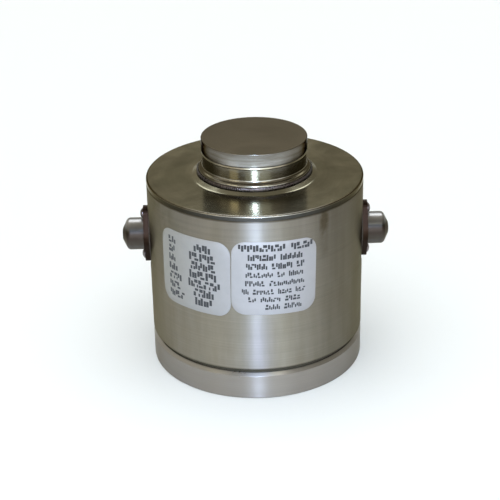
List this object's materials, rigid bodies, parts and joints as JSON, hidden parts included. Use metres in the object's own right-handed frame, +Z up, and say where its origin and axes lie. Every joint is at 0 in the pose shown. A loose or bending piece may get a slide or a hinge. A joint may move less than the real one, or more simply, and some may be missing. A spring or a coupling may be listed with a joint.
{
  "type": "strain gauge load cell",
  "caption": "Round steel compression load cell: welded canister with a flat load button on a short neck, a thick base, a screwed cable gland on either side and printed labels.",
  "frame": {"origin": "centre of the base's bottom face, on the cell's axis", "axes": "+Z up the axis towards the load button, +X along the right cable port, +Y towards the back"},
  "size_m": [0.1368, 0.1102, 0.12],
  "materials": {
    "spring_steel": "fine turned, polished neck",
    "housing_steel": "brushed round the axis",
    "lid_steel": "turned, satin",
    "weld_steel": "rough weld bead",
    "gauge_foil": "polyimide foil",
    "terminal_strip": "satin",
    "gauge_wire": "lacquered wire",
    "circuit_board": "solder mask",
    "spacer_brass": "turned",
    "small_screws": "plain",
    "resistor_body": "matte",
    "terminal_plastic": "moulded",
    "gasket_rubber": "matte",
    "gland_steel": "satin",
    "seal_rubber": "matte",
    "cap_steel": "fine turned",
    "flange_screw_steel": "plain",
    "label_film": "satin printed film"
  },
  "bodies": {
    "root": {"spring_element": "spring_steel", "housing_tube": "housing_steel", "top_lid": "lid_steel", "neck_weld": "weld_steel", "base_weld": "weld_steel", "axial_gauges": "gauge_foil", "transverse_gauges": "gauge_foil", "terminal_strips": "terminal_strip", "gauge_wires": "gauge_wire", "compensation_board": "circuit_board", "board_spacers": "spacer_brass", "board_screws": "small_screws", "trim_resistors": "resistor_body", "cable_terminals": "terminal_plastic", "left_gland_gasket": "gasket_rubber", "left_gland_body": "gland_steel", "left_gland_seal": "seal_rubber", "left_clamp_washer": "small_screws", "left_gland_cap": "cap_steel", "left_flange_screws": "flange_screw_steel", "right_gland_gasket": "gasket_rubber", "right_gland_body": "gland_steel", "right_gland_seal": "seal_rubber", "right_clamp_washer": "small_screws", "right_gland_cap": "cap_steel", "right_flange_screws": "flange_screw_steel", "rating_label": "label_film", "wiring_label": "label_film"}
  },
  "joints": []
}
